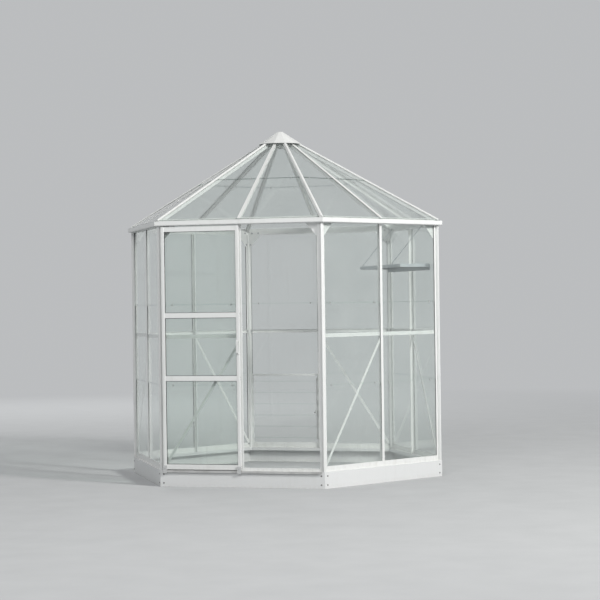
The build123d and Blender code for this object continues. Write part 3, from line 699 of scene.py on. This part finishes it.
def door_screws():
    """Screws through the stiles into the rails and in the guide shoes, and the hangers' nuts."""
    piece = Piece("door_screws")
    on_rail = (0.010, 0.028)
    for base in RAIL_BASES:
        for z in (base + height for height in on_rail):
            for x, way in ((LEAF_LOW.x, -1), (LEAF_HIGH.x, 1)):
                piece.dome(frame_at((x, -LEAF_MID, z), (0, 1, 0), (way, 0, 0)), 0.0040)
    shoe_front, shoe_centre, shoe_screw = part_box("door_shoes")[0].y, 0.015, 0.1385
    for x in (LEAF_LOW.x + shoe_centre, LEAF_HIGH.x - shoe_centre):
        piece.dome(frame_at((x, shoe_front, shoe_screw), (1, 0, 0), (0, -1, 0)), 0.0038)
    nut = [(0.0040, 0), (0.0044, 0.0004), (0.0044, 0.0030), (0.0040, 0.0034)]
    hanger_inset, spread, beside = 0.080, 0.010, 0.0055
    for x in (LEAF_LOW.x + hanger_inset, LEAF_HIGH.x - hanger_inset):
        for way in (-1, 1):
            spot = (x + way * spread, -LEAF_MID - beside, LEAF_HIGH.z)
            piece.turned_form(nut, 6, frame_at(spot, (1, 0, 0), (0, 0, 1)))
    piece.finish("door", "bare_metal", zinc)


def door_brushes():
    """Pile seals on the leaf's back, along both stiles."""
    piece = Piece("door_brushes")
    back, near, far, tape, pile, tip = LEAF_HIGH.y, 0.003, 0.009, 0.0012, 0.0066, 0.0012
    step, tuft = 0.0060, 0.8
    for x0, x1 in ((LEAF_LOW.x + near, LEAF_LOW.x + far), (LEAF_HIGH.x - far, LEAF_HIGH.x - near)):
        mid = (x0 + x1) / 2
        z = LEAF_LOW.z + 0.012
        piece.slab((x0, back, z), (x1, back + tape, LEAF_HIGH.z - 0.004), Matrix.Identity(4))
        while z < LEAF_HIGH.z - 0.010:
            sway = 0.0004 * sin(z * 900.0)
            foot = [
                (x0 + 0.001, back + tape, z),
                (x1 - 0.001, back + tape, z),
                (mid + tip + sway, back + pile, z),
                (mid - tip + sway, back + pile, z),
            ]
            head = [(x, y, h + step * tuft) for x, y, h in foot]
            piece.solid([foot, head], Matrix.Identity(4))
            z += step
    piece.finish("door", "nylon", rubber)


def stile_ribs():
    """Raised rib along the front of each stile."""
    piece = Piece("stile_ribs")
    low, high = LEAF_LOW.z + 0.030, LEAF_HIGH.z - 0.0005
    from_left, from_right, sunk, proud = 0.0085, 0.0022, 0.0004, 0.0011
    ease, end_ease = 0.0008, 0.0004
    for left in (LEAF_LOW.x, LEAF_HIGH.x - STILE):
        x0, x1 = left + from_left, left + STILE - from_right
        piece.slab(
            (x0, low, -sunk),
            (x1, high, proud),
            frame_at((0, -LEAF_FRONT, 0), (1, 0, 0), (0, -1, 0)),
            (x0 + ease, x1 - ease, low + end_ease, high - end_ease),
        )
    piece.finish("door", "white_frame", white)


# Stage: floor, backdrop, lamps and camera

BACKDROP = colour(0.50, 0.51, 0.52)
FLOOR_RADIUS = 60.0
FLOOR_DROP = 0.0006           # below the plinth's feet
FLOOR_FADE = (4.5, 14.0)      # distances from the axis over which it takes the backdrop's colour
SKY_LIGHT = 0.30
AIM = Vector((0, 0, 1.2))     # point that the lamps shine at
LAMP_DISTANCE = 14.0
LENS = 112.5                  # the camera's values are fitted to the photograph
CAMERA_SPOT = (4.297, -14.375, 1.391)
CAMERA_TURN = radians(16.10)
CAMERA_ROLL = radians(-0.77)


def floor():
    """A round floor that fades into the backdrop's colour far from the object."""
    mesh = bmesh.new()
    bmesh.ops.create_circle(mesh, cap_ends=True, segments=96, radius=FLOOR_RADIUS)
    bmesh.ops.translate(mesh, verts=mesh.verts, vec=(0, 0, -FLOOR_DROP))
    data = bpy.data.meshes.new("floor")
    mesh.to_mesh(data)
    mesh.free()
    t = new_material("floor")
    grain = t.span(t.noise(3.0, 6.0, 0.6), 0.3, 0.7)
    tone = t.blend(grain, colour(0.480, 0.489, 0.494), colour(0.513, 0.522, 0.527))
    matt = t.add("ShaderNodeBsdfDiffuse", {"Color": tone, "Roughness": 0.5})
    far = t.add("ShaderNodeEmission", {"Color": BACKDROP, "Strength": 1.0})
    away = t.add("ShaderNodeVectorMath", {0: t.spot()}, operation="LENGTH").outputs["Value"]
    data.materials.append(t.finish(t.mix(t.span(away, *FLOOR_FADE), matt, far)))
    made = bpy.data.objects.new("floor", data)
    bpy.context.scene.collection.objects.link(made)


def sky():
    """Even light from all round, seen as the backdrop's colour."""
    t = Tree(bpy.data.worlds.new("studio"))
    seen = t.add("ShaderNodeBackground", {"Color": BACKDROP})
    tint = colour(0.96, 0.98, 1.0)
    light = t.add("ShaderNodeBackground", {"Color": tint, "Strength": SKY_LIGHT})
    rays = t.add("ShaderNodeLightPath").outputs
    sight = t.math("MAXIMUM", rays["Is Camera Ray"], rays["Is Glossy Ray"])
    sight = t.math("MAXIMUM", sight, rays["Is Transmission Ray"])
    bpy.context.scene.world = t.finish(t.mix(sight, light, seen), "ShaderNodeOutputWorld")


def lamp(name, towards, size, level, tint=(1.0, 1.0, 1.0)):
    """Round soft lamp that gives about this level of light on a face turned to it.

    Glossy rays and rays bent by the panes don't meet it: its light passes the glass for shadow
    rays, and what stands behind glass would else be lit twice.
    """
    data = bpy.data.lights.new(name, "AREA")
    data.shape = "DISK"
    data.size = size
    data.color = tint
    data.energy = level * pi**2 * LAMP_DISTANCE**2
    made = bpy.data.objects.new(name, data)
    made.visible_glossy = made.visible_transmission = False
    bpy.context.scene.collection.objects.link(made)
    back = Vector(towards).normalized()
    made.location = AIM + back * LAMP_DISTANCE
    made.rotation_mode = "QUATERNION"
    made.rotation_quaternion = (-back).to_track_quat("-Z", "Y")


def camera():
    """The photograph's viewpoint, fitted to the building's corners."""
    data = bpy.data.cameras.new("camera")
    data.sensor_width = 36.0
    data.lens = LENS
    data.clip_start, data.clip_end = 0.1, 200.0
    made = bpy.data.objects.new("camera", data)
    bpy.context.scene.collection.objects.link(made)
    forward = Vector((-sin(CAMERA_TURN), cos(CAMERA_TURN), -0.0001)).normalized()
    right = Vector((cos(CAMERA_TURN), sin(CAMERA_TURN), 0.0))
    up = right.cross(forward)
    across = right * cos(CAMERA_ROLL) + up * sin(CAMERA_ROLL)
    upright = up * cos(CAMERA_ROLL) - right * sin(CAMERA_ROLL)
    facing = Matrix((across, upright, -forward)).transposed().to_4x4()
    made.matrix_world = Matrix.Translation(CAMERA_SPOT) @ facing
    bpy.context.scene.camera = made


plinth_bolts()
frame_nuts()
crown_screws()
lap_hooks()
glazing_strips()
rafter_caps()
gutter_joints()
louvre_works()
shelf_fixings()
sill_screws()
door_beads()
door_screws()
door_brushes()
stile_ribs()
floor()
sky()
lamp("key", (0.78, -0.43, 0.46), size=2.4, level=0.66, tint=(1.0, 0.99, 0.97))
lamp("fill", (0.10, -0.85, 0.50), size=6.0, level=0.23)
lamp("back", (-0.55, 0.75, 0.40), size=7.0, level=0.55)
camera()
bpy.context.scene.view_settings.view_transform = "Standard"
